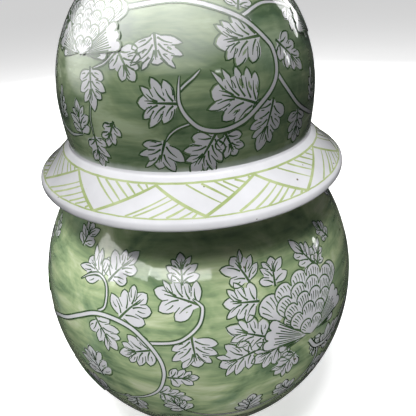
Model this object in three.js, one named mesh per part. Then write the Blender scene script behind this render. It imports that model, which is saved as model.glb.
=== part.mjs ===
// Covered porcelain ginger jar: a near-spherical jar with a short neck, and a lid with
// a wide sloping brim, a bell-shaped dome and a bud finial.
// Millimetres, +Z up. The origin is the centre of the foot ring's resting plane.

import * as THREE from 'three';

// Driving dimensions ---------------------------------------------------------------

const SEGMENTS = 48; // facets round every turned section
const BODY_STEPS = 8; // facets up each half of the jar's wall
const DOME_STEPS = 9; // facets from the widest part of the dome to its crown
const BUD_STEPS = 6;
const SLOPE_STEPS = 4;
const FILLET_STEPS = 3;
const LIP_STEPS = 4;

const BODY_RADIUS = 119; // widest part of the jar
const BODY_MIDDLE_Z = 110; // height of the widest part
const BODY_RISE = 126; // half height of the full body oval
const BODY_WALL = 5;
const BODY_FLOOR_Z = 15; // top of the floor inside
const FLOOR_CORNER_RISE = 6; // the floor curves up this much into the wall
const FLOOR_FLAT_RADIUS = 52;

const FOOT_HEIGHT = 8;
const FOOT_WIDTH = 9;
const FOOT_INSET = 1; // in from the body's edge above it
const FOOT_CHAMFER = 1.5;

const NECK_BASE_Z = 208; // where the shoulder ends
const NECK_TOP_Z = 218; // rim that carries the lid
const NECK_RADIUS = 74;
const NECK_WALL = 6;
const NECK_EDGE = 1.5; // chamfer of the rim
const NECK_SPREAD = 0.6; // how much wider the neck is where it meets the shoulder
const NECK_SPREAD_HEIGHT = 2;

const SEAT_GAP = 0.3; // between the neck's rim and the lid at rest

const BRIM_RADIUS = 105;
const BRIM_LIP_Z = 205.5; // underside of the lip
const BRIM_LIP_HEIGHT = 6.5;
const BRIM_LIP_ROUND = 2.2; // radius of the lip's lower corner
const BRIM_LIP_ROUND_FROM = -110; // degrees, where that corner leaves the underside
const BRIM_LIP_SETBACK = 0.8; // of the slope's edge, in from the lip
const BRIM_INNER_RADIUS = 87; // top of the sloping face, where the fillet starts
const BRIM_INNER_Z = 226;
const FILLET_PULL = 1.5; // how far off the dome's foot the fillet's corner lies
const SHELF_WIDTH = 4; // step inside the dome's foot, where the lid narrows to its collar
const SHELF_Z = 225;
const BRIM_SEAT_RADIUS = 86; // outer edge of the flat seat underneath
const BRIM_HOLLOW = 1.15; // how much the slope dishes in: 1 is a straight cone

const DOME_BASE_Z = 230.5;
const DOME_BASE_RADIUS = 82.7;
const DOME_RADIUS = 84; // widest part of the dome
const DOME_MIDDLE_Z = 254; // height of the widest part
const DOME_RISE = 89; // from the widest part to the crown
const DOME_WALL = 4.5;
const DOME_FOOT_BOW = 0.75; // share of the widening reached halfway up to the widest part
const DOME_LANDING_RADIUS = 13; // flat on the crown that carries the finial

const COLLAR_RADIUS = 64; // slides inside the neck with 4 mm all round
const COLLAR_WALL = 5;
const COLLAR_DROP = 14;
const COLLAR_EDGE = 1.5;

const FINIAL_HEIGHT = 31;
const FINIAL_FOOT_HEIGHT = 3; // flat ring that the bud stands on
const FINIAL_WAIST_RADIUS = 7.5;
const FINIAL_WAIST_HEIGHT = 6;
const FINIAL_WAIST_STRAIGHT = 1; // height of the waist's upright part
const FINIAL_BUD_RADIUS = 12.5;
const FINIAL_BUD_HEIGHT = 15; // of the bud's widest part
const FINIAL_BUD_FROM = -35; // degrees from the bud's widest part down to the waist
const FINIAL_BUD_TO = 50; // and up to where the point starts
const FINIAL_TIP_RADIUS = 3.5;

// Worked out from the driving dimensions --------------------------------------------

const SEAT_Z = NECK_TOP_Z + SEAT_GAP;
const DOME_LANDING_Z = DOME_MIDDLE_Z
  + DOME_RISE * Math.sqrt(1 - (DOME_LANDING_RADIUS / DOME_RADIUS) ** 2);

// Materials ---------------------------------------------------------------------------

const greenGlaze = new THREE.MeshStandardMaterial({ color: 0x8ca079, roughness: 0.12, metalness: 0 });
const whiteGlaze = new THREE.MeshStandardMaterial({ color: 0xdedfe0, roughness: 0.14, metalness: 0 });
const bareBiscuit = new THREE.MeshStandardMaterial({ color: 0xd8cfc0, roughness: 0.8, metalness: 0 });

// Profiles: lists of [radius, z] ------------------------------------------------------

// Radius of an oval that is centred on the axis at the height middleZ.
function ovalRadius(z, middleZ, radius, rise) {
  return radius * Math.sqrt(Math.max(0, 1 - ((z - middleZ) / rise) ** 2));
}

// Points along such an oval between two heights, evenly spaced in angle.
function ovalStretch(fromZ, toZ, middleZ, radius, rise, steps) {
  const fromAngle = Math.asin((fromZ - middleZ) / rise);
  const toAngle = Math.asin((toZ - middleZ) / rise);
  const points = [];
  for (let i = 0; i <= steps; i += 1) {
    const angle = fromAngle + ((toAngle - fromAngle) * i) / steps;
    points.push([radius * Math.cos(angle), middleZ + rise * Math.sin(angle)]);
  }
  return points;
}

// Points along a quarter or half round between two angles, in degrees from +R to +Z.
function roundStretch(centreR, centreZ, radius, fromDegrees, toDegrees, steps) {
  const points = [];
  for (let i = 0; i <= steps; i += 1) {
    const angle = THREE.MathUtils.degToRad(fromDegrees + ((toDegrees - fromDegrees) * i) / steps);
    points.push([centreR + radius * Math.cos(angle), centreZ + radius * Math.sin(angle)]);
  }
  return points;
}

// Turns a profile round the Z axis. A profile that doesn't start and end on the axis
// is a ring, and is closed on itself. It runs anticlockwise: up the outside, down the inside.
function turned(name, profile, material) {
  const points = profile.map(([r, z]) => new THREE.Vector2(r, z));
  if (profile[0][0] > 0) points.push(points[0].clone());
  const geometry = new THREE.LatheGeometry(points, SEGMENTS);
  geometry.rotateX(Math.PI / 2);
  const mesh = new THREE.Mesh(geometry, material);
  mesh.name = name;
  return mesh;
}

// Jar ---------------------------------------------------------------------------------

function footRing() {
  const outer = ovalRadius(FOOT_HEIGHT, BODY_MIDDLE_Z, BODY_RADIUS, BODY_RISE) - FOOT_INSET;
  const inner = outer - FOOT_WIDTH;
  return turned('foot_ring', [
    [inner + FOOT_CHAMFER, 0],
    [outer - FOOT_CHAMFER, 0],
    [outer, FOOT_CHAMFER],
    [outer, FOOT_HEIGHT],
    [inner, FOOT_HEIGHT],
    [inner, FOOT_CHAMFER],
  ], bareBiscuit);
}

function jarLowerBody() {
  const innerRadius = BODY_RADIUS - BODY_WALL;
  const innerRise = BODY_RISE - BODY_WALL;
  const floorCornerZ = BODY_FLOOR_Z + FLOOR_CORNER_RISE;
  return turned('jar_lower_body', [
    [0, FOOT_HEIGHT],
    ...ovalStretch(FOOT_HEIGHT, BODY_MIDDLE_Z, BODY_MIDDLE_Z, BODY_RADIUS, BODY_RISE, BODY_STEPS),
    ...ovalStretch(BODY_MIDDLE_Z, floorCornerZ, BODY_MIDDLE_Z, innerRadius, innerRise, BODY_STEPS - 1),
    [FLOOR_FLAT_RADIUS, BODY_FLOOR_Z],
    [0, BODY_FLOOR_Z],
  ], greenGlaze);
}

function jarUpperBody() {
  const innerRadius = BODY_RADIUS - BODY_WALL;
  const innerRise = BODY_RISE - BODY_WALL;
  return turned('jar_upper_body', [
    ...ovalStretch(BODY_MIDDLE_Z, NECK_BASE_Z, BODY_MIDDLE_Z, BODY_RADIUS, BODY_RISE, BODY_STEPS + 1),
    ...ovalStretch(NECK_BASE_Z, BODY_MIDDLE_Z, BODY_MIDDLE_Z, innerRadius, innerRise, BODY_STEPS),
  ], greenGlaze);
}

function jarNeck() {
  const inner = NECK_RADIUS - NECK_WALL;
  return turned('jar_neck', [
    [inner - NECK_SPREAD, NECK_BASE_Z],
    [NECK_RADIUS + NECK_SPREAD, NECK_BASE_Z],
    [NECK_RADIUS, NECK_BASE_Z + NECK_SPREAD_HEIGHT],
    [NECK_RADIUS, NECK_TOP_Z - NECK_EDGE],
    [NECK_RADIUS - NECK_EDGE, NECK_TOP_Z],
    [inner + NECK_EDGE, NECK_TOP_Z],
    [inner, NECK_TOP_Z - NECK_EDGE],
  ], whiteGlaze);
}

// Lid ---------------------------------------------------------------------------------

function lidCollar() {
  const inner = COLLAR_RADIUS - COLLAR_WALL;
  const bottomZ = SEAT_Z - COLLAR_DROP;
  return turned('lid_collar', [
    [inner + COLLAR_EDGE, bottomZ],
    [COLLAR_RADIUS - COLLAR_EDGE, bottomZ],
    [COLLAR_RADIUS, bottomZ + COLLAR_EDGE],
    [COLLAR_RADIUS, SEAT_Z],
    [inner, SEAT_Z],
    [inner, bottomZ + COLLAR_EDGE],
  ], bareBiscuit);
}

// The upper face of the brim, from the lip in to the fillet.
function brimSlope(steps) {
  const lipTopZ = BRIM_LIP_Z + BRIM_LIP_HEIGHT;
  const outerRadius = BRIM_RADIUS - BRIM_LIP_SETBACK;
  const points = [];
  for (let i = 0; i <= steps; i += 1) {
    const inward = i / steps;
    points.push([
      outerRadius + (BRIM_INNER_RADIUS - outerRadius) * inward,
      lipTopZ + (BRIM_INNER_Z - lipTopZ) * inward ** BRIM_HOLLOW,
    ]);
  }
  return points;
}

// The hollow curve from the top of the slope up to the dome's foot.
function fillet(steps) {
  const curve = new THREE.QuadraticBezierCurve(
    new THREE.Vector2(BRIM_INNER_RADIUS, BRIM_INNER_Z),
    new THREE.Vector2(DOME_BASE_RADIUS + FILLET_PULL, DOME_BASE_Z - FILLET_PULL),
    new THREE.Vector2(DOME_BASE_RADIUS, DOME_BASE_Z),
  );
  return curve.getPoints(steps).map((point) => [point.x, point.y]);
}

function lidBrim() {
  const innerWall = DOME_BASE_RADIUS - DOME_WALL;
  const collarInner = COLLAR_RADIUS - COLLAR_WALL;
  return turned('lid_brim', [
    [collarInner, SEAT_Z],
    [BRIM_SEAT_RADIUS, SEAT_Z],
    ...roundStretch(BRIM_RADIUS - BRIM_LIP_ROUND, BRIM_LIP_Z + BRIM_LIP_ROUND,
      BRIM_LIP_ROUND, BRIM_LIP_ROUND_FROM, 0, LIP_STEPS),
    [BRIM_RADIUS, BRIM_LIP_Z + BRIM_LIP_HEIGHT - BRIM_LIP_SETBACK],
    ...brimSlope(SLOPE_STEPS),
    ...fillet(FILLET_STEPS).slice(1),
    [innerWall, DOME_BASE_Z],
    [innerWall - SHELF_WIDTH, SHELF_Z],
    [collarInner, SHELF_Z],
  ], whiteGlaze);
}

function lidDome() {
  const innerRadius = DOME_RADIUS - DOME_WALL;
  const innerRise = DOME_RISE - DOME_WALL;
  const innerTopZ = DOME_MIDDLE_Z + innerRise;
  const footRadius = DOME_BASE_RADIUS + DOME_FOOT_BOW * (DOME_RADIUS - DOME_BASE_RADIUS);
  const footZ = (DOME_BASE_Z + DOME_MIDDLE_Z) / 2;
  return turned('lid_dome', [
    [0, innerTopZ],
    ...ovalStretch(
      innerTopZ, DOME_MIDDLE_Z, DOME_MIDDLE_Z, innerRadius, innerRise, DOME_STEPS).slice(1),
    [DOME_BASE_RADIUS - DOME_WALL, DOME_BASE_Z],
    [DOME_BASE_RADIUS, DOME_BASE_Z],
    [footRadius, footZ],
    ...ovalStretch(
      DOME_MIDDLE_Z, DOME_LANDING_Z, DOME_MIDDLE_Z, DOME_RADIUS, DOME_RISE, DOME_STEPS),
    [0, DOME_LANDING_Z],
  ], greenGlaze);
}

function lidFinial() {
  const baseZ = DOME_LANDING_Z;
  const footEdge = FINIAL_FOOT_HEIGHT / 2;
  const waistZ = baseZ + FINIAL_WAIST_HEIGHT;
  const tipZ = baseZ + FINIAL_HEIGHT;
  return turned('lid_finial', [
    [0, baseZ],
    [DOME_LANDING_RADIUS - footEdge, baseZ],
    [DOME_LANDING_RADIUS, baseZ + footEdge],
    [DOME_LANDING_RADIUS - footEdge, baseZ + FINIAL_FOOT_HEIGHT],
    [FINIAL_WAIST_RADIUS, waistZ - FINIAL_WAIST_STRAIGHT],
    [FINIAL_WAIST_RADIUS, waistZ],
    ...roundStretch(0, baseZ + FINIAL_BUD_HEIGHT,
      FINIAL_BUD_RADIUS, FINIAL_BUD_FROM, FINIAL_BUD_TO, BUD_STEPS),
    [FINIAL_TIP_RADIUS, tipZ - FINIAL_TIP_RADIUS],
    [0, tipZ],
  ], whiteGlaze);
}

// Assembly ------------------------------------------------------------------------------

const jar = new THREE.Group();
jar.add(footRing(), jarLowerBody(), jarUpperBody(), jarNeck());

const lid = new THREE.Group();
lid.add(lidCollar(), lidBrim(), lidDome(), lidFinial());

const group = new THREE.Group();
group.add(jar, lid);

export default group;
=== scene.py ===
# Covered porcelain ginger jar, painted in watery green round white peonies and leaves.
# Lengths are millimetres until a mesh is written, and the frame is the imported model.

import bisect
import math
import random

import bpy
from mathutils import Matrix, Vector
from mathutils.geometry import delaunay_2d_cdt


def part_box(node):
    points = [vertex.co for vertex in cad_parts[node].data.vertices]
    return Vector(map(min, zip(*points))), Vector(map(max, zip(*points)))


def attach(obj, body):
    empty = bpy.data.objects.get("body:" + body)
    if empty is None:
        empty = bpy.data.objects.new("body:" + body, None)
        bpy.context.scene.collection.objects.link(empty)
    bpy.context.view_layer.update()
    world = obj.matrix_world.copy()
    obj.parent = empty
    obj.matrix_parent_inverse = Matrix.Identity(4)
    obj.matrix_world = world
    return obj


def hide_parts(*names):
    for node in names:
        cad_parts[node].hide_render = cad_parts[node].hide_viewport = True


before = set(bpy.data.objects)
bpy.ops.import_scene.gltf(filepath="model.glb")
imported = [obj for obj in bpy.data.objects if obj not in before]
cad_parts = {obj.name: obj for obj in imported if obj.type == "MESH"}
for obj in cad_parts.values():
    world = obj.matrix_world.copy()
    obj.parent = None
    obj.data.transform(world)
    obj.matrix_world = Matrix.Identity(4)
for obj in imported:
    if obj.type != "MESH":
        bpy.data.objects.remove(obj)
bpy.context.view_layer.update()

MM = 0.001

# Sizes read from the frame


def node_top(node):
    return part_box(node)[1][2] / MM


def node_bottom(node):
    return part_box(node)[0][2] / MM


def node_radius(node):
    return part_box(node)[1][0] / MM


BODY_RADIUS = node_radius("jar_upper_body")
BODY_MIDDLE_Z = node_bottom("jar_upper_body")
BODY_RISE = BODY_RADIUS * 126 / 119  # the body is slightly taller than a ball
BODY_WALL = 5.0
BODY_FLOOR = 7.0  # thickness of the floor above the foot ring
FOOT_HEIGHT = node_top("foot_ring")
FOOT_RADIUS = node_radius("foot_ring")
FOOT_WIDTH = 9.0
NECK_BASE_Z = node_bottom("jar_neck")
NECK_TOP_Z = node_top("jar_neck")
NECK_SPREAD = 0.6  # how much wider the neck is where it meets the shoulder
NECK_RADIUS = node_radius("jar_neck") - NECK_SPREAD
NECK_WALL = 6.0

BRIM_RADIUS = node_radius("lid_brim")
BRIM_LIP_Z = node_bottom("lid_brim")
BRIM_LIP_HEIGHT = 6.5
BRIM_LIP_SETBACK = 1.2  # of the slope's edge, in from the lip
BRIM_LIP_CURVE = ((3.2, 0.2), (1.6, 0.1), (0.3, 1.5), (0.0, 3.4), (0.3, 5.4))  # inset, rise
BRIM_SLOPE_TOP = (BRIM_RADIUS - 18.0, BRIM_LIP_Z + 20.5)  # radius and height of the fillet's start
BRIM_HOLLOW = 1.15  # how much the slope dishes in: 1 is a straight cone
BRIM_SEAT_RADIUS = BRIM_RADIUS - 19.0  # outer edge of the flat seat underneath
SEAT_Z = node_top("lid_collar")
COLLAR_RADIUS = node_radius("lid_collar")
COLLAR_WALL = 5.0
COLLAR_BOTTOM_Z = node_bottom("lid_collar")

DOME_BASE_Z = node_bottom("lid_dome")
DOME_RADIUS = node_radius("lid_dome")
DOME_BASE_RADIUS = DOME_RADIUS - 1.3
DOME_MIDDLE_Z = DOME_BASE_Z + 23.5  # height of the widest part
DOME_RISE = DOME_RADIUS * 89 / 84
DOME_WALL = 4.5
FINIAL_BASE_Z = node_bottom("lid_finial")
FINIAL_TOP_Z = node_top("lid_finial")
FINIAL_RADIUS = node_radius("lid_finial")

ROUND_STEPS = 288  # facets round every turned piece
SHARP_DEGREES = 40  # edges steeper than this stay crisp

# Profiles of the turned pieces: lists of (radius, z)


def oval_stretch(from_z, to_z, middle_z, radius, rise, steps):
    """Part of an oval centred on the axis, between two heights."""
    start = math.asin(max(-1.0, min(1.0, (from_z - middle_z) / rise)))
    end = math.asin(max(-1.0, min(1.0, (to_z - middle_z) / rise)))
    angles = [start + (end - start) * i / steps for i in range(steps + 1)]
    return [(radius * math.cos(a), middle_z + rise * math.sin(a)) for a in angles]


def arc_stretch(centre, radius, start, end, steps):
    """Part of a circle, between two angles in degrees."""
    angles = [math.radians(start + (end - start) * i / steps) for i in range(steps + 1)]
    return [(centre[0] + radius * math.cos(a), centre[1] + radius * math.sin(a)) for a in angles]


def spline(a, b, c, d, t):
    """One coordinate between b (t = 0) and c (t = 1) of a Catmull-Rom curve through a, b, c and d."""
    bend = (2 * a - 5 * b + 4 * c - d) * t**2
    twist = (3 * b - a - 3 * c + d) * t**3
    return 0.5 * (2 * b + (c - a) * t + bend + twist)


def curve_stretch(points, steps):
    """A smooth curve through a few points, for profiles and brush strokes."""
    ends = [tuple(2 * a - b for a, b in zip(points[0], points[1]))]
    tails = [tuple(2 * a - b for a, b in zip(points[-1], points[-2]))]
    knots = ends + list(points) + tails
    result = []
    for k in range(1, len(knots) - 2):
        axes = list(zip(*knots[k - 1 : k + 3]))
        result += [tuple(spline(*axis, i / steps) for axis in axes) for i in range(steps)]
    result.append(tuple(points[-1]))
    return result


def body_profile():
    inner_radius = BODY_RADIUS - BODY_WALL
    inner_rise = BODY_RISE - BODY_WALL
    floor_z = FOOT_HEIGHT + BODY_FLOOR
    outside = oval_stretch(FOOT_HEIGHT, NECK_BASE_Z, BODY_MIDDLE_Z, BODY_RADIUS, BODY_RISE, 120)
    inside = oval_stretch(NECK_BASE_Z, floor_z + 8, BODY_MIDDLE_Z, inner_radius, inner_rise, 60)
    floor = curve_stretch([inside[-1], (62.0, floor_z + 1.5), (48.0, floor_z)], 6)[1:]
    return [(0.0, FOOT_HEIGHT)] + outside + inside + floor + [(0.0, floor_z)]


def ring_profile(radius, wall, bottom_z, top_z):
    """A plain ring with its lower edges rounded, like the foot ring and the collar."""
    inner = radius - wall
    edge = 2.0
    return (
        arc_stretch((inner + edge, bottom_z + edge), edge, 180, 270, 6)
        + arc_stretch((radius - edge, bottom_z + edge), edge, 270, 360, 6)
        + [(radius, top_z), (inner, top_z)]
    )


def neck_profile():
    inner = NECK_RADIUS - NECK_WALL
    edge = 2.2
    foot = [
        (NECK_RADIUS + NECK_SPREAD, NECK_BASE_Z),
        (NECK_RADIUS, NECK_BASE_Z + 2),
        (NECK_RADIUS, NECK_BASE_Z + 5),
    ]
    return (
        curve_stretch(foot, 5)
        + arc_stretch((NECK_RADIUS - edge, NECK_TOP_Z - edge), edge, 0, 90, 8)
        + arc_stretch((inner + edge, NECK_TOP_Z - edge), edge, 90, 180, 8)
        + [(inner - 0.4, NECK_BASE_Z + 3), (inner - 1, NECK_BASE_Z)]
    )


def brim_slope(inward):
    """Point on the brim's painted face, from the lip (0) in to the fillet (1)."""
    lip_radius = BRIM_RADIUS - BRIM_LIP_SETBACK
    lip_z = BRIM_LIP_Z + BRIM_LIP_HEIGHT
    top_radius, top_z = BRIM_SLOPE_TOP
    return (
        lip_radius + (top_radius - lip_radius) * inward,
        lip_z + (top_z - lip_z) * inward**BRIM_HOLLOW,
    )


def brim_profile():
    """Underside, lip, slope, fillet and the shelf inside the dome."""
    collar_inner = COLLAR_RADIUS - COLLAR_WALL
    dome_inner = DOME_BASE_RADIUS - DOME_WALL
    top_radius, top_z = BRIM_SLOPE_TOP
    slope = [brim_slope(i / 24) for i in range(25)]
    lip = [(BRIM_RADIUS - inset, BRIM_LIP_Z + rise) for inset, rise in BRIM_LIP_CURVE] + slope[:1]
    underside = [
        (BRIM_SEAT_RADIUS, SEAT_Z),
        (BRIM_SEAT_RADIUS + 7, SEAT_Z - 5.0),
        (BRIM_RADIUS - 6, BRIM_LIP_Z + 2.4),
        lip[0],
    ]
    fillet = [
        slope[-1],
        (top_radius - 2.6, top_z + 1.9),
        (DOME_BASE_RADIUS + 0.35, DOME_BASE_Z - 1.6),
        (DOME_BASE_RADIUS, DOME_BASE_Z),
    ]
    shelf = [
        (dome_inner, DOME_BASE_Z),
        (dome_inner - 1.2, DOME_BASE_Z - 3),
        (dome_inner - 5, SEAT_Z + 7),
        (collar_inner + 4, SEAT_Z + 6),
        (collar_inner, SEAT_Z + 2.5),
        (collar_inner, SEAT_Z),
    ]
    under_and_lip = curve_stretch(underside, 6) + curve_stretch(lip, 5)[1:]
    return under_and_lip + slope[1:] + curve_stretch(fillet, 5)[1:] + curve_stretch(shelf, 4)


def dome_outline(skirt_steps, crown_steps):
    """Outside of the dome: it draws in a little to the brim, and is an oval above."""
    skirt = []
    for i in range(skirt_steps):
        below = 1 - i / skirt_steps
        radius = DOME_RADIUS - (DOME_RADIUS - DOME_BASE_RADIUS) * below**2
        skirt.append((radius, DOME_MIDDLE_Z - below * (DOME_MIDDLE_Z - DOME_BASE_Z)))
    crown = oval_stretch(DOME_MIDDLE_Z, FINIAL_BASE_Z, DOME_MIDDLE_Z, DOME_RADIUS, DOME_RISE, crown_steps)
    return skirt + crown


def dome_profile():
    inner_radius = DOME_RADIUS - DOME_WALL
    inner_rise = DOME_RISE - DOME_WALL
    inner_top = DOME_MIDDLE_Z + inner_rise
    inside = oval_stretch(inner_top, DOME_MIDDLE_Z, DOME_MIDDLE_Z, inner_radius, inner_rise, 50)[1:]
    foot = [(DOME_BASE_RADIUS - DOME_WALL, DOME_BASE_Z)]
    return [(0.0, inner_top)] + inside + foot + dome_outline(16, 70) + [(0.0, FINIAL_BASE_Z)]


def finial_outline():
    """A ring on the crown, a waist, and a pointed bud."""
    ring = [(FINIAL_RADIUS - 1.2, 0.0), (FINIAL_RADIUS, 1.5), (FINIAL_RADIUS - 1.0, 3.0)]
    waist = [(8.4, 4.3), (7.4, 6.2), (9.4, 8.6)]
    bud = [(12.2, 12.2), (12.4, 15.6), (10.4, 20.6), (6.2, 25.0), (3.0, 27.6), (1.6, 29.4)]
    tip = [(0.0, FINIAL_TOP_Z - FINIAL_BASE_Z)]
    outline = curve_stretch([(r, FINIAL_BASE_Z + z) for r, z in ring + waist + bud + tip], 6)
    return [(max(0.0, r), z) for r, z in outline]


# Mesh making


def new_piece(name, verts, faces, body, material):
    """Makes a visual piece from points in mm and sets the body it rides on."""
    mesh = bpy.data.meshes.new(name)
    mesh.from_pydata([(x * MM, y * MM, z * MM) for x, y, z in verts], [], faces)
    mesh.validate()
    mesh.shade_smooth()
    mesh.set_sharp_from_angle(angle=math.radians(SHARP_DEGREES))
    mesh.materials.append(material)
    piece = bpy.data.objects.new(name, mesh)
    bpy.context.scene.collection.objects.link(piece)
    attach(piece, body)
    return piece


def revolved(profile, steps, closed=False):
    """Vertices and faces of a profile turned round +Z; a closed one is a ring."""
    verts, rings = [], []
    for r, z in profile:
        if r == 0.0:
            rings.append([len(verts)] * steps)
            verts.append((0.0, 0.0, z))
            continue
        rings.append(range(len(verts), len(verts) + steps))
        for i in range(steps):
            angle = 2 * math.pi * i / steps
            verts.append((r * math.sin(angle), -r * math.cos(angle), z))
    faces = []
    following = rings[1:] + rings[:1] if closed else rings[1:]
    for low, high in zip(rings, following):
        for i in range(steps):
            j = (i + 1) % steps
            faces.append(tuple(dict.fromkeys([low[i], low[j], high[j], high[i]])))
    return verts, faces


def turned(name, profile, body, material):
    """A turned piece. Its profile starts and ends on the axis, or is closed on itself."""
    on_axis = profile[0][0] == 0.0
    verts, faces = revolved(profile, ROUND_STEPS, closed=not on_axis)
    return new_piece(name, verts, faces, body, material)


# Painted surfaces: a place on one is (azimuth in degrees from the front, arc length in mm)


TINY = 1e-6  # keeps a step of no length from dividing by nothing


class Skin:
    """The face of a turned piece that is painted, known by its profile from low to high."""

    def __init__(self, profile):
        self.profile = profile
        self.heights = [z for _, z in profile]
        self.arcs = [0.0]
        for (r0, z0), (r1, z1) in zip(profile, profile[1:]):
            self.arcs.append(self.arcs[-1] + math.hypot(r1 - r0, z1 - z0))

    @staticmethod
    def stretch(values, value):
        """Which stretch between listed values holds a value, and how far along it is."""
        k = min(max(bisect.bisect_right(values, value) - 1, 0), len(values) - 2)
        return k, (value - values[k]) / (values[k + 1] - values[k])

    def arc_at(self, z):
        k, share = self.stretch(self.heights, z)
        return self.arcs[k] + share * (self.arcs[k + 1] - self.arcs[k])

    def radius(self, arc):
        k, share = self.stretch(self.arcs, arc)
        return self.profile[k][0] + share * (self.profile[k + 1][0] - self.profile[k][0])

    def height_at(self, arc):
        k, share = self.stretch(self.arcs, arc)
        return self.heights[k] + share * (self.heights[k + 1] - self.heights[k])

    def point(self, place, lift):
        """The point in space some millimetres proud of a place."""
        azimuth, arc = place
        k, share = self.stretch(self.arcs, arc)
        (r0, z0), (r1, z1) = self.profile[k : k + 2]
        length = self.arcs[k + 1] - self.arcs[k]
        r = r0 + (r1 - r0) * share + lift * (z1 - z0) / length
        z = z0 + (z1 - z0) * share - lift * (r1 - r0) / length
        angle = math.radians(azimuth)
        return (r * math.sin(angle), -r * math.cos(angle), z)

    def moved(self, place, right, up):
        """The place some millimetres to the right of and above another."""
        azimuth, arc = place
        radius = 0.5 * (self.radius(arc) + self.radius(arc + up))
        return (azimuth + math.degrees(right / radius), arc + up)

    def beside(self, path, i, distance):
        """The place some millimetres to the left of a path at one of its places."""
        before, after = path[max(i - 1, 0)], path[min(i + 1, len(path) - 1)]
        right = math.radians(after[0] - before[0]) * self.radius(path[i][1])
        up = after[1] - before[1]
        share = distance / max(math.hypot(right, up), TINY)
        return self.moved(path[i], -up * share, right * share)


SLAB_ROOT = 0.15  # how far a layer of paint is rooted in the wall, mm


def brush(start, middle, end):
    """A brush's relative width along its stroke, from 0 to 1."""
    return lambda t: start * (1 - t) ** 2 + 2 * middle * t * (1 - t) + end * t**2


def tapered(t):
    """Full width until near the end, then narrowing."""
    return 1 - 0.75 * t**6


EVEN = brush(1.0, 1.0, 1.0)


class Paint:
    """One colour on one skin: thin closed slabs, gathered into a single mesh."""

    def __init__(self, skin):
        self.skin = skin
        self.verts = []
        self.faces = []

    def slab(self, places, faces, lift):
        """A patch of faces, listed anticlockwise as seen from outside."""
        top = len(self.verts)
        root = top + len(places)
        self.verts += [self.skin.point(place, lift) for place in places]
        self.verts += [self.skin.point(place, -SLAB_ROOT) for place in places]
        self.faces += [tuple(top + i for i in face) for face in faces]
        self.faces += [tuple(root + i for i in reversed(face)) for face in faces]
        self.faces += [(top + b, top + a, root + a, root + b) for a, b in rim(faces)]

    def stroke(self, path, width, lift, press=brush(0.5, 1.3, 0.4)):
        """A brush line along places; press gives its relative width from start (0) to end (1)."""
        first = len(self.verts)
        last = len(path) - 1
        for i, place in enumerate(path):
            half = 0.5 * width * press(i / last)
            self.verts.append(self.skin.point(self.skin.beside(path, i, half), lift))
            self.verts.append(self.skin.point(self.skin.beside(path, i, -half), lift))
            self.verts.append(self.skin.point(place, -SLAB_ROOT))
        for i in range(last):
            left, right, root = range(first + 3 * i, first + 3 * i + 3)
            self.faces.append((right, right + 3, left + 3, left))
            self.faces.append((left, left + 3, root + 3, root))
            self.faces.append((root, root + 3, right + 3, right))
        tail = first + 3 * last
        self.faces.append((first, first + 2, first + 1))
        self.faces.append((tail, tail + 1, tail + 2))


def rim(faces):
    """The edges that only one face has, each in that face's direction."""
    edges = {}
    for face in faces:
        for a, b in zip(face, face[1:] + face[:1]):
            if (b, a) in edges:
                del edges[(b, a)]
            else:
                edges[(a, b)] = True
    return list(edges)


def rim_loops(faces):
    """The same edges, chained into closed loops of vertex numbers."""
    following = {}
    for a, b in rim(faces):
        following.setdefault(a, []).append(b)
    loops = []
    while following:
        start = next(iter(following))
        loop = [start]
        while loop[-1] in following:
            ahead = following[loop[-1]].pop()
            if not following[loop[-1]]:
                del following[loop[-1]]
            if ahead == start:
                break
            loop.append(ahead)
        loops.append(loop)
    return loops


def joined(outlines):
    """Overlapping flat outlines made into one patch: its points and its triangles."""
    points, rings = [], []
    for outline in outlines:
        rings.append(list(range(len(points), len(points) + len(outline))))
        points += [Vector(point) for point in outline]
    inside_only = 1
    merging_distance = 1e-4
    flat = delaunay_2d_cdt(points, [], rings, inside_only, merging_distance)
    return [(v.x, v.y) for v in flat[0]], [tuple(face) for face in flat[2]]


# Brushwork: the reserve left white, and the dark lines over it

LINE_WIDTH = 1.05
WHITE_LIFT = 0.06  # the lowest layer of white over the green, mm
LAYER_STEP = 0.045  # one motif over another, mm
LINE_LIFT = 0.025  # a line over its own reserve, mm
BARE_LIFT = 2 * LINE_LIFT  # a line straight on the glaze, mm
LEAF_LAYER, BRANCH_LAYER, STEM_LAYER, FLOWER_LAYER = 0, 1, 2, 2


def white_lift(layer):
    return WHITE_LIFT + LAYER_STEP * layer


class Art:
    """The reserve and the brush lines of one painted surface."""

    def __init__(self, profile, seed):
        self.skin = Skin(profile)
        self.reserve = Paint(self.skin)
        self.lines = Paint(self.skin)
        self.random = random.Random(seed)

    def places(self, foot, heading, points):
        """Puts points drawn flat, in mm from a foot (azimuth, z) along a heading, on the skin."""
        base = (foot[0], self.skin.arc_at(foot[1]))
        c, s = math.cos(math.radians(heading)), math.sin(math.radians(heading))
        return [self.skin.moved(base, x * c - y * s, x * s + y * c) for x, y in points]

    def route(self, stops, steps=8):
        """A smooth path on the skin through stops (azimuth, z)."""
        return curve_stretch([(azimuth, self.skin.arc_at(z)) for azimuth, z in stops], steps)


def stem(art, stops, width, layer):
    """A white stem between two dark lines, slimmer towards its end."""
    path = art.route(stops)
    art.reserve.stroke(path, width, white_lift(layer), tapered)
    last = len(path) - 1
    for side in (-1, 1):
        halves = [side * 0.5 * width * tapered(i / last) for i in range(last + 1)]
        edge = [art.skin.beside(path, i, half) for i, half in enumerate(halves)]
        art.lines.stroke(edge, LINE_WIDTH, white_lift(layer) + LINE_LIFT, brush(0.9, 1.15, 0.6))


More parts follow.
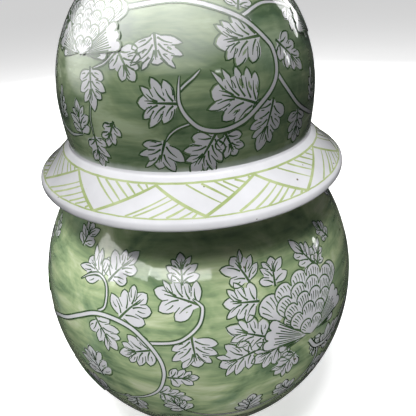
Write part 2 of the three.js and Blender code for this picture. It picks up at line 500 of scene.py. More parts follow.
# A leaf's proportions, as shares of its length or width
NOTCH_SHARE = 0.83  # how far out along its lobes the blade reaches
TIP_REACH = 0.52  # length of the lobe at the tip
CORE_HALF = 0.17  # half width of the blade along the midrib
SLIP = 0.04  # how far the lines may lie off the white
TICK_CHANCE = 0.6  # of a second vein in a lobe
NOTCH_DEGREES = -25  # an edge that turns back more than this has a notch


def finger(reach, breadth, point):
    """Outline of one lobe of a leaf: narrow at its root, round or slightly pointed at its tip."""
    sides = 14
    outline = []
    for i in range(sides + 1):
        angle = math.radians(-165 + 330 * i / sides)
        tip = point * max(0.0, math.cos(angle)) ** 8
        along = reach * (0.5 + 0.5 * math.cos(angle) + tip)
        across = 0.5 * breadth * math.sin(angle) * (0.8 + 0.34 * math.cos(angle))
        outline.append((along, across))
    return outline


def turned_points(points, origin, angle):
    c, s = math.cos(angle), math.sin(angle)
    return [(origin[0] + x * c - y * s, origin[1] + x * s + y * c) for x, y in points]


def web(rib, first, second):
    """Outline of the leaf's blade between two neighbouring lobes, as far as their notch."""
    roots, tips = [], []
    for place, splay, reach, _ in (first, second):
        origin, direction = rib(place)
        roots.append(origin)
        tips += turned_points([(NOTCH_SHARE * reach, 0.0)], origin, direction + splay)
    return [roots[0], *tips, roots[1]]


def lobes_of(loop, points):
    """Splits a leaf's edge at its notches, where it turns back sharply."""
    count = len(loop)
    notches = []
    for i in range(count):
        (ax, ay), (bx, by), (cx, cy) = (points[loop[(i + k) % count]] for k in (-1, 0, 1))
        cross = (bx - ax) * (cy - by) - (by - ay) * (cx - bx)
        dot = (bx - ax) * (cx - bx) + (by - ay) * (cy - by)
        if math.atan2(cross, dot) < math.radians(NOTCH_DEGREES):
            notches.append(i)
    if not notches:
        return [loop]
    ends = notches[1:] + [notches[0] + count]
    return [[loop[i % count] for i in range(start, end + 1)] for start, end in zip(notches, ends)]


def midrib(length, bend):
    """A leaf's midrib, an arc that bends by some degrees: its point and direction at a share."""
    turn = math.radians(bend) or 0.01  # a straight one is bent too little to see

    def rib(t):
        direction = turn * (t - 0.5)
        x = length / turn * (math.sin(direction) + math.sin(turn / 2))
        y = length / turn * (math.cos(turn / 2) - math.cos(direction))
        return (x, y), direction

    return rib


def leaf_fingers(draw, length, width, lobes):
    """A leaf's lobes: place on the midrib, splay off it, reach and breadth. The tip is first."""
    fingers = [(0.5, 0.0, TIP_REACH * length, 0.5 * width)]
    for side, count in ((1, lobes[0]), (-1, lobes[1])):
        for i in range(count):
            share = (i + 0.5) / count
            splay = math.radians(76 - 44 * share + draw.uniform(-5, 5))
            fullness = 0.75 + 0.5 * math.sin(math.pi * (0.15 + 0.7 * share))
            reach = 0.5 * width * fullness * draw.uniform(0.92, 1.12)
            breadth = min(1.2 * length / count * math.sin(splay), 0.5 * width)
            fingers.append((0.04 + 0.58 * share, side * splay, reach, breadth))
    return fingers


def leaf_veins(draw, reach, breadth, side):
    """The veins of one lobe, drawn along it: (path, width)."""
    sway = 0.1 * reach * side
    veins = [([(0.12 * reach, 0), (0.45 * reach, sway), (0.82 * reach, sway)], 3, LINE_WIDTH)]
    if draw.random() < TICK_CHANCE:
        start = draw.uniform(0.35, 0.5) * reach
        end = draw.uniform(0.7, 0.9) * reach
        beside = -side * draw.uniform(0.16, 0.26) * breadth
        tick = [(start, 0.6 * beside), (0.5 * (start + end), beside), (end, beside)]
        veins.append((tick, 2, 0.7 * LINE_WIDTH))
    return [(curve_stretch(stops, steps), thickness) for stops, steps, thickness in veins]


def leaf(art, foot, heading, length, width, lobes, bend):
    """A lobed leaf: white fingers off a bent midrib, outlined and veined a little out of register."""
    draw = art.random
    rib = midrib(length, bend)
    fingers = leaf_fingers(draw, length, width, lobes)
    outlines = []
    veins = []
    for place, splay, reach, breadth in fingers:
        origin, direction = rib(place)
        angle = direction + splay
        outlines.append(turned_points(finger(reach, breadth, draw.uniform(0.06, 0.24)), origin, angle))
        for path, thickness in leaf_veins(draw, reach, breadth, 1 if splay < 0 else -1):
            veins.append((turned_points(path, origin, angle), thickness))
    for side_fingers in (fingers[1 : 1 + lobes[0]], fingers[1 + lobes[0] :]):
        ordered = side_fingers + fingers[:1]
        for first, second in zip(ordered, ordered[1:]):
            outlines.append(web(rib, first, second))
    core = [rib(i / 8) for i in range(1, 8)]
    half = CORE_HALF * width
    right_side = [turned_points([(0.0, -half)], origin, direction)[0] for origin, direction in core]
    left_side = [turned_points([(0.0, half)], origin, direction)[0] for origin, direction in core]
    outlines.append([(0.0, 0.0)] + right_side + left_side[::-1])
    points, triangles = joined(outlines)
    edge = [points[i] for i in max(rim_loops(triangles), key=len)]
    points, triangles = joined([edge] + outlines)
    art.reserve.slab(art.places(foot, heading, points), triangles, white_lift(LEAF_LAYER))

    line_lift = white_lift(LEAF_LAYER) + LINE_LIFT
    slip = (SLIP * length * draw.uniform(-1, 1), SLIP * length * draw.uniform(-1, 1))
    for loop in rim_loops(triangles):
        for arc in lobes_of(loop, points):
            if len(arc) > 4:
                notch_x, notch_y = points[arc[0]]
                lobe = [(0.86 * notch_x, 0.45 * notch_y)] + [points[i] for i in arc]
                line = [(x * 1.02 + slip[0], y * 1.02 + slip[1]) for x, y in lobe]
                art.lines.stroke(art.places(foot, heading, line), LINE_WIDTH, line_lift)
    for vein, thickness in veins:
        art.lines.stroke(art.places(foot, heading, vein), thickness, line_lift, brush(1.0, 0.9, 0.3))
    middle = [rib(0.85 * i / 8)[0] for i in range(9)]
    press = brush(1.2, 1.0, 0.4)
    art.lines.stroke(art.places(foot, heading, middle), 1.25 * LINE_WIDTH, line_lift, press)


BRIM_ZIGZAGS = 10
ZIGZAG_TIP, ZIGZAG_ROOT = 2.5, -13.5  # azimuths of the first stroke's lower and upper end
ZIGZAG_LOW, ZIGZAG_HIGH = 0.09, 0.96  # its ends, as shares of the brim's slope
ZIGZAG_WIDTH = 1.9
BRIM_HATCHES = (0.3, 0.42, 0.54, 0.66, 0.78, 0.89)  # places along a triangle's side, from its left
FINIAL_SEPALS = 14
SEPAL_FOOT, SEPAL_LENGTH = 7.2, 13  # above the finial's base, and along the bud, mm
FINIAL_RING = 2.6  # above the finial's base, mm


def brim_brushwork(art):
    """A zigzag round the brim, each triangle hatched alongside its left edge, between two rings."""
    draw = art.random
    turn = 360 / BRIM_ZIGZAGS
    inner = art.skin.arcs[-1] * ZIGZAG_HIGH
    lip = art.skin.arcs[-1] * ZIGZAG_LOW

    def line(start, end, width, sway, press):
        length = math.hypot(math.radians(end[0] - start[0]) * BRIM_RADIUS, end[1] - start[1])
        path = []
        steps = max(4, math.ceil(length / 1.8))
        for i in range(steps + 1):
            t = i / steps
            place = (start[0] + (end[0] - start[0]) * t, start[1] + (end[1] - start[1]) * t)
            path.append(art.skin.moved(place, sway * length * t * (1 - t), 0.0))
        art.lines.stroke(path, width, BARE_LIFT, press)

    def jitter(place, amount=0.7):
        return (place[0] + draw.uniform(-amount, amount), place[1] + draw.uniform(-0.4, 0.4))

    for k in range(BRIM_ZIGZAGS):
        tip, following = ((turn * i + ZIGZAG_TIP, lip) for i in (k, k + 1))
        left, right = ((turn * i + ZIGZAG_ROOT, inner) for i in (k, k + 1))
        line(jitter(left), jitter(tip), ZIGZAG_WIDTH, draw.uniform(-0.1, 0.1), brush(0.8, 1.1, 0.9))
        line(jitter(tip), jitter(right), ZIGZAG_WIDTH, draw.uniform(-0.1, 0.1), brush(0.9, 1.1, 0.7))
        for share in BRIM_HATCHES:
            share += draw.uniform(-0.02, 0.02)
            for near, apex, far in ((left, tip, right), (tip, right, following)):
                start = (near[0] + share * (far[0] - near[0]), near[1] + share * (far[1] - near[1]))
                end = (apex[0] + share * (far[0] - apex[0]), apex[1] + share * (far[1] - apex[1]))
                bow = draw.uniform(0.0, 0.16)
                line(jitter(start), jitter(end, 0.3), draw.uniform(1.1, 1.6), bow, brush(0.9, 1.0, 0.5))
    for arc, width in ((inner + 0.6, 1.3), (lip * 0.8, 0.9)):
        steps = 180
        ring = [(360 * i / steps, arc + draw.uniform(-0.12, 0.12)) for i in range(steps)]
        art.lines.stroke(ring + [(360.0, ring[0][1])], width, BARE_LIFT, EVEN)


def finial_brushwork(art):
    """Pointed strokes up the bud, like the sepals of a flower, and a ring round its foot."""
    foot = art.skin.arc_at(FINIAL_BASE_Z + SEPAL_FOOT)
    steps = 12
    for k in range(FINIAL_SEPALS):
        azimuth = 360 / FINIAL_SEPALS * k + art.random.uniform(-2, 2)
        tip = foot + SEPAL_LENGTH * art.random.uniform(0.9, 1.1)
        path = [(azimuth, foot + (tip - foot) * i / steps) for i in range(steps + 1)]
        art.lines.stroke(path, 1.7, BARE_LIFT, brush(1.2, 0.9, 0.1))
    ring = [(10.0 * i, art.skin.arc_at(FINIAL_BASE_Z + FINIAL_RING)) for i in range(37)]
    art.lines.stroke(ring, 1.1, BARE_LIFT, EVEN)


COMB_PLACES = (0.18, 0.34, 0.5, 0.66, 0.82)  # the lines of a comb, as shares of a scallop
LONG_HATCH = 0.55  # combs longer than this share of a petal have fewer lines


def petal(art, foot, heading, base, outer, spread, scallops, gap, hatch, layer):
    """A fan-shaped petal: a scalloped edge, with combs of lines that begin a gap inside it."""
    draw = art.random
    per_scallop = 12
    columns = scallops * per_scallop
    bulge = 0.4 * math.radians(spread) * outer / scallops

    def edge(i):
        across = 2 * (i % per_scallop) / per_scallop - 1
        return outer - bulge * (1 - math.sqrt(1 - min(1.0, across * across)))

    def ray(i, radius):
        angle = math.radians(spread * (0.5 - i / columns))
        return (radius * math.cos(angle), radius * math.sin(angle))

    rings = max(2, math.ceil((outer - base) / 3.5))
    points = []
    for i in range(columns + 1):
        points += [ray(i, base + (edge(i) - base) * j / rings) for j in range(rings + 1)]
    faces = []
    for i in range(columns):
        for j in range(rings):
            corner = i * (rings + 1) + j
            faces.append((corner, corner + rings + 1, corner + rings + 2, corner + 1)[::-1])
    art.reserve.slab(art.places(foot, heading, points), faces, white_lift(layer))

    line_lift = white_lift(layer) + LINE_LIFT
    for k in range(scallops):
        scallop = [ray(i, edge(i)) for i in range(k * per_scallop, (k + 1) * per_scallop + 1)]
        art.lines.stroke(art.places(foot, heading, scallop), LINE_WIDTH, line_lift, brush(0.8, 1.2, 0.8))
        for i in COMB_PLACES[::2] if hatch > LONG_HATCH * outer else COMB_PLACES:
            spot = (k + i + draw.uniform(-0.02, 0.02)) * per_scallop
            tip = edge(round(spot)) - gap * draw.uniform(0.7, 1.3)
            tail = max(base, tip - hatch * draw.uniform(0.7, 1.0))
            comb = curve_stretch([ray(spot, tip), ray(spot + 0.3, 0.5 * (tip + tail)), ray(spot, tail)], 3)
            path = art.places(foot, heading, comb)
            art.lines.stroke(path, 0.75 * LINE_WIDTH, line_lift, brush(0.9, 1.0, 0.3))
    for i in (0, columns):
        side = [ray(i, base + (edge(i) - base) * j / rings) for j in range(rings + 1)]
        art.lines.stroke(art.places(foot, heading, side), LINE_WIDTH, line_lift)


# Each petal: foot (right, up), heading, base, outer, spread, scallops, gap, hatch; back ones first
PEONY = (
    ((-19, 17), 122, 3, 22, 66, 1, 2.5, 10),
    ((19, 17), 58, 3, 22, 66, 1, 2.5, 10),
    ((0, 0), 84, 26, 44, 82, 4, 2.2, 6),
    ((0, 0), 88, 20, 37, 92, 4, 2.2, 6),
    ((-1, 0), 176, 3, 24, 30, 2, 5, 10),
    ((1, 0), 4, 3, 24, 30, 2, 5, 10),
    ((-1, 0), 142, 3, 26, 40, 2, 2.5, 10),
    ((1, 0), 38, 3, 26, 40, 2, 2.5, 10),
    ((0, 0), 84, 12, 30, 100, 4, 2.2, 6),
    ((-2, -1), 156, 4, 34, 38, 3, 8, 21),
    ((2, -1), 24, 4, 34, 38, 3, 8, 21),
    ((0, 0), 90, 6, 22, 108, 3, 2, 6),
    ((1, -2), 86, 1, 14, 124, 2, 2, 5),
)


def peony(art, foot, size):
    centre = (foot[0], art.skin.arc_at(foot[1]))
    for k, (offset, heading, base, outer, spread, scallops, gap, hatch) in enumerate(PEONY):
        azimuth, arc = art.skin.moved(centre, offset[0] * size, offset[1] * size)
        at = (azimuth, art.skin.height_at(arc))
        base, outer, gap, hatch = (size * length for length in (base, outer, gap, hatch))
        petal(art, at, heading, base, outer, spread, scallops, gap, hatch, FLOWER_LAYER + k)


# The painting's layout
# A stem: its stops (azimuth, z) and its width. The first one is the main stem.
# A leaf: foot (azimuth, z), heading, length, width, lobes on its left and right, bend.
# A flower: foot (azimuth, z) and size.

REPEATS = 3

BODY_STEMS = (
    (
        (
            (-86.6, 116), (-83, 106), (-76, 103), (-67, 111), (-58, 122), (-50, 130), (-42, 140),
            (-35, 147), (-28, 148), (-22, 145), (-18, 139), (-15, 132), (-13, 123), (-13, 112),
            (-16, 98), (-24, 86), (-36, 78),
        ),
        3.2,
    ),
    (((-17, 137), (-9, 139), (-5, 143), (-1.5, 150), (-0.3, 158), (-1, 161), (-3, 164)), 2.5),
    (((-34, 149), (-31.5, 153), (-31, 161), (-32, 167), (-35, 170), (-39, 168), (-43, 163)), 2.0),
    (((35, 112), (38, 100), (36, 86), (28, 74), (14, 68), (0, 70), (-8, 78)), 2.2),
    (((-60, 41), (-45, 46), (-30, 46), (-15, 40), (0, 36), (15, 38), (30, 44), (45, 46), (60, 41)), 2.2),
)

BODY_LEAVES = (
    ((-46, 180), 82, 15, 14, (3, 2), 10),
    ((-31, 168), 48, 24, 17, (3, 2), -20),
    ((-33, 168), 150, 16, 20, (2, 3), 20),
    ((-26, 149), 45, 23, 20, (3, 2), -15),
    ((-35, 145), -48, 22, 17, (3, 3), 10),
    ((-15, 133), -160, 22, 17, (3, 3), 15),
    ((-4, 143), -82, 20, 21, (3, 3), 10),
    ((-0.5, 160), 163, 26, 20, (2, 4), 20),
    ((-6, 171), 95, 16, 14, (3, 3), 10),
    ((-35, 97), 106, 23, 19, (3, 3), -15),
    ((-12, 113), 5, 18, 13, (3, 2), 15),
    ((15, 168), 118, 17, 17, (2, 3), 15),
    ((23, 162), 85, 16, 15, (3, 2), 0),
    ((17, 157), 173, 19, 18, (3, 3), 10),
    ((18, 134), 155, 24, 18, (3, 3), 8),
    ((14, 127), -162, 21, 19, (3, 3), 8),
    ((25, 127), -163, 24, 19, (3, 4), -8),
    ((28, 113), -144, 18, 17, (3, 3), 8),
    ((41, 160), 122, 26, 14, (3, 4), 10),
    ((41, 160), 55, 16, 10, (2, 2), 0),
    ((53, 169), 120, 17, 10, (2, 3), 0),
    ((36, 116), -90, 17, 9, (3, 3), 0),
    ((-16, 99), -15, 20, 14, (3, 2), 15),
    ((-24, 86), -95, 18, 14, (2, 3), 10),
    ((-36, 78), 165, 20, 16, (3, 3), 10),
    ((39, 100), 22, 24, 16, (3, 3), -10),
    ((36, 86), -20, 22, 15, (3, 3), 10),
    ((28, 74), 130, 18, 13, (3, 2), 0),
    ((12, 68), 85, 20, 15, (3, 3), 10),
    ((-8, 78), 120, 20, 14, (3, 3), -10),
    ((-34, 46), 75, 18, 14, (3, 3), 10),
    ((-16, 40), -70, 15, 12, (2, 3), 0),
    ((2, 36), 70, 19, 14, (3, 3), -10),
    ((22, 41), -75, 15, 12, (3, 2), 0),
    ((42, 46), 80, 20, 15, (3, 3), 10),
    ((60, 41), -80, 15, 12, (3, 2), 0),
)


DOME_STEMS = (
    (
        (
            (-26, 310), (0, 312), (22, 304), (33, 292), (35.5, 285), (35, 276), (32, 269), (26, 262),
            (19, 255), (11, 252), (4, 254), (-0.6, 260), (-3, 267), (-3, 274), (-2.4, 280),
        ),
        3.0,
    ),
    (((35, 276), (39, 268), (46, 257), (54, 250), (64, 245), (74, 247)), 2.8),
    (((24, 303), (38, 308), (54, 306), (66, 300)), 2.4),
    (((-3, 273), (-0.5, 276), (2.5, 279), (5.2, 282.3)), 1.9),
    (((0, 257), (-4, 255), (-7, 252), (-9, 248)), 1.6),
    (((-26, 292), (-31, 286), (-37, 283)), 1.6),
    (((-38, 265), (-39, 257), (-38.6, 247)), 1.3),
)

DOME_LEAVES = (
    ((26, 262), 161, 26, 24, (3, 5), 15),
    ((32.5, 264), -111, 27, 18, (3, 4), -8),
    ((-3, 267), 178, 19, 18, (3, 3), 8),
    ((-9, 249), -106, 15, 18, (2, 3), 10),
    ((9, 251), -122, 23, 17, (4, 3), 0),
    ((12, 251), -66, 14, 13, (2, 2), 0),
    ((47, 254), -94, 19, 15, (3, 3), 0),
    ((60, 252), 86, 19, 9, (3, 3), 0),
    ((38, 291), -44, 24, 14, (3, 3), 0),
    ((31, 294), -176, 23, 21, (3, 4), 0),
    ((-11, 299), -83, 14, 20, (3, 3), 0),
    ((-26, 293), -58, 18, 13, (3, 2), 0),
    ((-38, 284), -84, 20, 14, (3, 3), 0),
    ((-38.6, 249), -86, 17, 13, (3, 2), 0),
    ((-28, 258), -115, 14, 10, (2, 2), 0),
    ((-6, 312), 80, 17, 13, (3, 3), 10),
    ((24, 306), 65, 18, 14, (3, 3), -10),
    ((54, 306), 75, 20, 15, (3, 3), 10),
    ((54, 306), -70, 18, 14, (3, 3), 10),
    ((74, 247), 95, 18, 13, (3, 3), 10),
    ((-30, 336), -90, 22, 14, (3, 3), 10),
    ((30, 336), -90, 22, 14, (3, 3), -10),
)

BODY_FLOWERS = (((33.4, 123), 1.0), ((-52, 62), 0.5))
DOME_FLOWERS = (((-44, 290), 0.75),)


def repeated(art, stems, leaves, flowers):
    """Paints the same layout side by side round a surface: leaves, then stems, then flowers."""
    for turn in range(REPEATS):
        shift = 360 / REPEATS * turn
        for foot, heading, length, width, lobes, bend in leaves:
            leaf(art, (foot[0] + shift, foot[1]), heading, length, width, lobes, bend)
        for order, (stops, width) in enumerate(stems):
            layer = BRANCH_LAYER if order else STEM_LAYER
            stem(art, [(azimuth + shift, z) for azimuth, z in stops], width, layer)
        for foot, size in flowers:
            peony(art, (foot[0] + shift, foot[1]), size)


# Materials


class Nodes:
    """A material's node tree, with short calls for the nodes that the glazes use."""

    def __init__(self, name):
        self.material = bpy.data.materials.new(name)
        self.material.use_nodes = True
        self.tree = self.material.node_tree
        self.shader = self.tree.nodes["Principled BSDF"]
        coords = self.tree.nodes.new("ShaderNodeTexCoord")
        self.position = coords.outputs["Object"]

    def link(self, source, target):
        self.tree.links.new(source, target)

    def scaled(self, scale):
        node = self.tree.nodes.new("ShaderNodeMapping")
        node.inputs["Scale"].default_value = scale
        self.link(self.position, node.inputs["Vector"])
        return node.outputs["Vector"]

    def noise(self, scale, detail=3.0, roughness=0.55, stretch=(1, 1, 1), distortion=0.0):
        node = self.tree.nodes.new("ShaderNodeTexNoise")
        node.inputs["Scale"].default_value = scale
        node.inputs["Detail"].default_value = detail
        node.inputs["Roughness"].default_value = roughness
        node.inputs["Distortion"].default_value = distortion
        self.link(self.scaled(stretch), node.inputs["Vector"])
        return node.outputs["Fac"]

    def ramp(self, source, stops):
        node = self.tree.nodes.new("ShaderNodeValToRGB")
        elements = node.color_ramp.elements
        while len(elements) < len(stops):
            elements.new(0.5)
        for element, (place, colour) in zip(elements, stops):
            element.position = place
            element.color = (*colour, 1.0)
        self.link(source, node.inputs["Fac"])
        return node.outputs["Color"]

    def mix(self, factor, first, second):
        """Blends two colours, each a fixed one or another node's output."""
        node = self.tree.nodes.new("ShaderNodeMix")
        node.data_type = "RGBA"
        factor_socket, first_socket, second_socket = (node.inputs[i] for i in (0, 6, 7))
        self.link(factor, factor_socket)
        for socket, value in ((first_socket, first), (second_socket, second)):
            if isinstance(value, tuple):
                socket.default_value = (*value, 1.0)
            else:
                self.link(value, socket)
        return node.outputs[2]

    def maths(self, operation, first, second):
        node = self.tree.nodes.new("ShaderNodeMath")
        node.operation = operation
        for socket, value in zip(node.inputs, (first, second)):
            if isinstance(value, float):
                socket.default_value = value
            else:
                self.link(value, socket)
        return node.outputs[0]

    def height(self):
        node = self.tree.nodes.new("ShaderNodeSeparateXYZ")
        self.link(self.position, node.inputs["Vector"])
        return node.outputs["Z"]

    def between(self, source, low, high):
        """A smooth step from 0 to 1 as the source goes from low to high."""
        node = self.tree.nodes.new("ShaderNodeMapRange")
        node.interpolation_type = "SMOOTHSTEP"
        node.inputs["From Min"].default_value = low
        node.inputs["From Max"].default_value = high
        self.link(source, node.inputs["Value"])
        return node.outputs["Result"]

    def bump(self, layers):
        """Stacks bumps, each (height source, strength, distance in metres)."""
        previous = None
        for source, strength, distance in layers:
            node = self.tree.nodes.new("ShaderNodeBump")
            node.inputs["Strength"].default_value = strength
            node.inputs["Distance"].default_value = distance
            self.link(source, node.inputs["Height"])
            if previous:
                self.link(previous, node.inputs["Normal"])
            previous = node.outputs["Normal"]
        self.link(previous, self.shader.inputs["Normal"])
        return previous


def glazed(nodes, tone, roughness):
    """Clear glaze over a colour, with slow waves and a fine orange peel in its surface."""
    nodes.link(tone, nodes.shader.inputs["Base Color"])
    nodes.link(roughness, nodes.shader.inputs["Roughness"])
    nodes.shader.inputs["Coat Weight"].default_value = 1.0
    nodes.shader.inputs["Coat Roughness"].default_value = 0.04
    nodes.shader.inputs["Coat IOR"].default_value = 1.5
    nodes.shader.inputs["Specular IOR Level"].default_value = 0.3
    waves = nodes.noise(38.0, detail=2.0, roughness=0.5)
    peel = nodes.noise(420.0, detail=2.0, roughness=0.5)
    normal = nodes.bump([(waves, 0.35, 0.0012), (peel, 0.12, 0.0002)])
    nodes.link(normal, nodes.shader.inputs["Coat Normal"])
    return nodes.material


# From where the wash is thickest to where it is thinnest
JAR_GREENS = ((0.155, 0.240, 0.130), (0.300, 0.405, 0.215), (0.440, 0.535, 0.300), (0.640, 0.700, 0.470))
LID_GREENS = ((0.104, 0.168, 0.090), (0.195, 0.280, 0.152), (0.286, 0.372, 0.208), (0.450, 0.545, 0.345))
WASH_STOPS = (0.38, 0.47, 0.54, 0.63)
WASH_END = (0.68, 0.76, 0.68)


def green_wash(name, greens, edge_z):
    """Thin green brushed on in watery, roughly level strokes, feathered at its lower edge."""
    nodes = Nodes(name)
    pools = nodes.noise(26.0, detail=4.0, roughness=0.6, stretch=(1.0, 1.0, 1.6), distortion=0.6)
    strokes = nodes.noise(34.0, detail=5.0, roughness=0.62, stretch=(0.5, 0.5, 4.5), distortion=0.3)
    pool_part = nodes.maths("MULTIPLY", pools, 0.65)
    stroke_part = nodes.maths("MULTIPLY", strokes, 0.35)
    tone = nodes.ramp(nodes.maths("ADD", pool_part, stroke_part), list(zip(WASH_STOPS, greens)))
    blue_pool = nodes.between(nodes.noise(19.0, roughness=0.5), 0.56, 0.72)
    red, green, blue = greens[0]
    tone = nodes.mix(nodes.maths("MULTIPLY", blue_pool, 0.45), tone, (red, green * 1.2, blue * 1.6))
    edge_noise = nodes.noise(90.0, roughness=0.6, stretch=(1.0, 1.0, 0.4))
    above_edge = nodes.maths("SUBTRACT", nodes.height(), nodes.maths("MULTIPLY", edge_noise, 0.004))
    covered = nodes.between(above_edge, (edge_z - 1) * MM, (edge_z + 3.5) * MM)
    return glazed(nodes, nodes.mix(covered, WASH_END, tone), nodes.between(pools, 0.2, 1.6))


def white_porcelain(name, white):
    """White glaze, a little greyer in places, with rare brown specks."""
    nodes = Nodes(name)
    blush = nodes.noise(30.0, detail=4.0, roughness=0.6)
    tone = nodes.ramp(blush, [(0.35, tuple(0.88 * c for c in white)), (0.65, white)])
    specks = nodes.between(nodes.noise(300.0, detail=0.0, roughness=0.4), 0.84, 0.87)
    brown = (0.16, 0.12, 0.08)
    return glazed(nodes, nodes.mix(specks, tone, brown), nodes.between(blush, 0.0, 2.0))


def brush_ink(name, full, dry):
    """Painted lines, lighter where the brush ran dry."""
    nodes = Nodes(name)
    load = nodes.noise(60.0, roughness=0.6)
    tone = nodes.ramp(load, [(0.38, full), (0.62, dry)])
    return glazed(nodes, tone, nodes.between(load, 0.0, 2.0))


def bare_clay(name):
    """Unglazed fired clay: grainy, dull and unevenly stained."""
    nodes = Nodes(name)
    grain = nodes.noise(900.0, roughness=0.6)
    stain = nodes.noise(60.0, detail=4.0, roughness=0.6)
    tone = nodes.ramp(stain, [(0.3, (0.47, 0.41, 0.33)), (0.7, (0.63, 0.58, 0.50))])
    nodes.link(tone, nodes.shader.inputs["Base Color"])
    nodes.link(nodes.between(grain, -2.0, 1.2), nodes.shader.inputs["Roughness"])
    nodes.bump([(grain, 0.4, 0.0002)])
    return nodes.material


# Camera, light and floor


def camera():
    """Close to the lid and a little above it, so that the jar fills the view."""
    data = bpy.data.cameras.new("camera")
    data.lens = 36.5
    data.sensor_width = 36.0
    rig = bpy.data.objects.new("camera", data)
    distance = 2.95 * BRIM_RADIUS
    elevation = math.radians(20.7)
    roll = math.radians(3.36)
    aim = Vector((9.3, 0.0, 162.0))
    lip_z = BRIM_LIP_Z + BRIM_LIP_HEIGHT
    eye = Vector((0.0, -distance * math.cos(elevation), lip_z + distance * math.sin(elevation)))
    look = (aim - eye).to_track_quat("-Z", "Y").to_matrix().to_4x4()
    rig.matrix_world = Matrix.Translation(eye * MM) @ look @ Matrix.Rotation(-roll, 4, "Z")
    bpy.context.scene.collection.objects.link(rig)
    bpy.context.scene.camera = rig


JAR_MIDDLE = Vector((0, 0, 0.2))  # what every lamp faces, m


def soft_box(name, azimuth, elevation, distance, size, power, roll=0):
    """An area light that faces the jar, from an azimuth counted from the front to the right."""
    data = bpy.data.lights.new(name, "AREA")
    data.shape = "RECTANGLE"
    data.size, data.size_y = size
    data.energy = power
    lamp = bpy.data.objects.new(name, data)
    a, e = math.radians(azimuth), math.radians(elevation)
    away = Vector((math.sin(a) * math.cos(e), -math.cos(a) * math.cos(e), math.sin(e)))
    place = Matrix.Translation(JAR_MIDDLE + away * distance)
    facing = (-away).to_track_quat("-Z", "Y").to_matrix().to_4x4()
    lamp.matrix_world = place @ facing @ Matrix.Rotation(math.radians(roll), 4, "Z")
    bpy.context.scene.collection.objects.link(lamp)
    return lamp


def only_on(lamp, pieces):
    """Limits a lamp to the pieces that it may light."""
    group = bpy.data.collections.new(lamp.name + "_receivers")
    for piece in pieces:
        group.objects.link(piece)
    lamp.light_linking.receiver_collection = group


def reflection(name, azimuth, elevation, distance, size, glow, pieces, roll=0, soft=None):
    """A bright pane that only shows as a reflection in the glaze of some pieces.

    A soft pane fades out evenly to a number of degrees from its middle.
    """
    pane = soft_box(name, azimuth, elevation, distance, size, glow * math.pi * size[0] * size[1], roll)
    if soft:
        half = math.radians(soft)
        pane.data.spread = 2 * half
        pane.data.energy *= (math.tan(half) - half) / math.tan(half)
    pane.visible_diffuse = False
    only_on(pane, pieces)


def daylight(name, azimuth, elevation, key_power, fill_power, pieces):
    """High light from the front and low light from the left for one part of the jar."""
    key = soft_box(name + "_key", azimuth, elevation, 1.3, (0.7, 0.6), key_power)
    fill = soft_box(name + "_fill", -98, 2, 1.2, (0.8, 0.3), fill_power)
    for lamp in (key, fill):
        lamp.visible_glossy = False
        only_on(lamp, pieces)


def lights(floor, jar_pieces, brim_pieces, dome_pieces):
    """Window light on each part of the jar, and the bright panes that its glaze mirrors."""
    daylight("jar", -38, 78.5, 36.0, 6.6, jar_pieces + [floor])
    daylight("brim", 4, 44, 21.0, 0.4, brim_pieces)
    daylight("dome", -25, 66, 15.8, 2.2, dome_pieces)
    bounce = soft_box("bounce", 10, -35, 0.355, (0.8, 0.08), 0.7)
    bounce.visible_glossy = False
    only_on(bounce, jar_pieces)
    glazed = jar_pieces + dome_pieces
    backs = (("back_left", -150, 22, 7.0), ("back_right", 160, 20, 7.0), ("low_right", 130, 8, 2.0))
    for name, azimuth, elevation, power in backs:
        soft_box(name, azimuth, elevation, 1.4, (0.6, 0.6), power).visible_glossy = False
        reflection(name + "_pane", azimuth, elevation + 15, 1.4, (0.5, 0.5), 3.2, glazed)
    window = ((-70, 13.5, 0.74, 3.8), (-48, 18.4, 0.38, 4.8), (-26, 20.2, 0.26, 6.8), (-4, 20.5, 0.24, 5.6))
    for k, (azimuth, elevation, height, glow) in enumerate(window):
        reflection("window_%d" % k, azimuth, elevation, 2.0, (0.77, height), glow, jar_pieces)
    reflection("left_glow", -100, 38, 1.0, (2.1, 2.1), 6.6, dome_pieces, soft=42)
    reflection("high_glow", -26, 75, 1.0, (3.2, 3.2), 8.0, dome_pieces, soft=56)
    reflection("side_pane", 96, 13, 1.5, (0.035, 0.24), 12.0, dome_pieces, 12)
    reflection("small_pane", 27, 24, 1.5, (0.09, 0.04), 9.0, dome_pieces)
    reflection("low_pane", 90, 0, 1.5, (0.06, 0.12), 7.0, jar_pieces)
    reflection("front_pane", 21, 18, 1.5, (0.08, 0.045), 3.5, jar_pieces)


def backdrop_material():
    """Paper that glows a little by itself, so that it stays pale far from the lamps."""
    nodes = Nodes("backdrop_paper")
    tone = nodes.ramp(nodes.noise(3.0), [(0.3, (0.80, 0.80, 0.80)), (0.7, (0.84, 0.84, 0.84))])
    nodes.link(tone, nodes.shader.inputs["Base Color"])
    nodes.shader.inputs["Roughness"].default_value = 0.9
    nodes.shader.inputs["Emission Color"].default_value = (1, 1, 1, 1)
    nodes.shader.inputs["Emission Strength"].default_value = 0.6
    return nodes.material


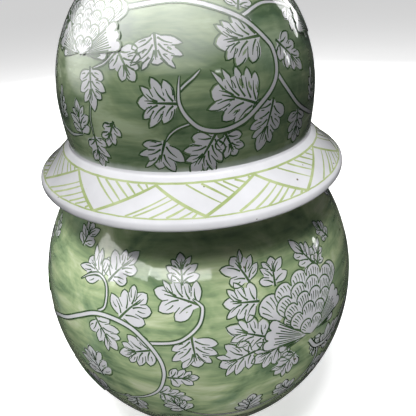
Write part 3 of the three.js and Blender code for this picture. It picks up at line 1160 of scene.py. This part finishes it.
def studio():
    """A pale floor that curves up into a pale wall all round, lit softly from above."""
    world = bpy.data.worlds.new("studio")
    world.use_nodes = True
    world.node_tree.nodes["Background"].inputs["Color"].default_value = (0.95, 0.97, 1.0, 1)
    world.node_tree.nodes["Background"].inputs["Strength"].default_value = 0.03
    bpy.context.scene.world = world
    bpy.context.scene.view_settings.view_transform = "Standard"
    cove_start, cove_radius = 5.0, 7.0
    outline = [(0.0, 0.0), (0.6, 0.0), (1.5, 0.0), (cove_start, 0.0)]
    for degrees in range(10, 100, 10):
        bend = math.radians(degrees)
        r = cove_start + cove_radius * math.sin(bend)
        outline.append((r, cove_radius - cove_radius * math.cos(bend)))
    verts, faces = revolved(outline, 96)
    mesh = bpy.data.meshes.new("floor_and_wall")
    mesh.from_pydata(verts, [], faces)
    mesh.materials.append(backdrop_material())
    mesh.shade_smooth()
    cove = bpy.data.objects.new("floor_and_wall", mesh)
    bpy.context.scene.collection.objects.link(cove)
    cove.visible_diffuse = False
    cove.visible_glossy = False
    return cove


# Assembly

camera()
floor = studio()

green_jar = green_wash("green_glaze_jar", JAR_GREENS, FOOT_HEIGHT + 1)
green_lid = green_wash("green_glaze_lid", LID_GREENS, DOME_BASE_Z - 1.5)
white = white_porcelain("white_glaze", (0.75, 0.75, 0.78))
clay = bare_clay("bare_biscuit")

jar_shell = turned("jar_body", body_profile(), "jar", green_jar)
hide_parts("jar_lower_body", "jar_upper_body")
foot_ring = ring_profile(FOOT_RADIUS, FOOT_WIDTH, 0.0, FOOT_HEIGHT)
foot = turned("jar_foot", foot_ring, "jar", clay)
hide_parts("foot_ring")
neck = turned("jar_neck_ring", neck_profile(), "jar", white)
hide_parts("jar_neck")

dome = turned("lid_dome_shell", dome_profile(), "lid", green_lid)
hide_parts("lid_dome")
brim = turned("lid_brim_ring", brim_profile(), "lid", white)
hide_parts("lid_brim")
collar_ring = ring_profile(COLLAR_RADIUS, COLLAR_WALL, COLLAR_BOTTOM_Z, SEAT_Z)
collar = turned("lid_collar_ring", collar_ring, "lid", clay)
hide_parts("lid_collar")
finial = turned("lid_finial_bud", [(0.0, FINIAL_BASE_Z)] + finial_outline(), "lid", white)
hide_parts("lid_finial")

body_face = oval_stretch(FOOT_HEIGHT, NECK_BASE_Z, BODY_MIDDLE_Z, BODY_RADIUS, BODY_RISE, 480)
jar_art = Art(body_face, seed=11)
repeated(jar_art, BODY_STEMS, BODY_LEAVES, BODY_FLOWERS)
lid_art = Art(dome_outline(60, 300), seed=12)
repeated(lid_art, DOME_STEMS, DOME_LEAVES, DOME_FLOWERS)
ink = brush_ink("brush_line_glaze", (0.050, 0.098, 0.042), (0.100, 0.165, 0.074))
for name, art in (("jar", jar_art), ("lid", lid_art)):
    new_piece(name + "_reserve", art.reserve.verts, art.reserve.faces, name, white)
    new_piece(name + "_brushwork", art.lines.verts, art.lines.faces, name, ink)
brim_art = Art([brim_slope(i / 120) for i in range(121)], seed=13)
brim_brushwork(brim_art)
wash = brush_ink("brim_line_glaze", (0.34, 0.42, 0.17), (0.50, 0.57, 0.31))
new_piece("brim_brushwork", brim_art.lines.verts, brim_art.lines.faces, "lid", wash)

finial_art = Art(finial_outline(), seed=14)
finial_brushwork(finial_art)
new_piece("finial_brushwork", finial_art.lines.verts, finial_art.lines.faces, "lid", ink)

pieces = {piece.name: piece for piece in bpy.context.scene.objects if piece.type == "MESH"}
jar_pieces = [piece for name, piece in pieces.items() if name.startswith("jar_")]
brim_pieces = [brim, collar, pieces["brim_brushwork"]]
dome_pieces = [dome, finial, pieces["lid_reserve"], pieces["lid_brushwork"], pieces["finial_brushwork"]]
lights(floor, jar_pieces, brim_pieces, dome_pieces)
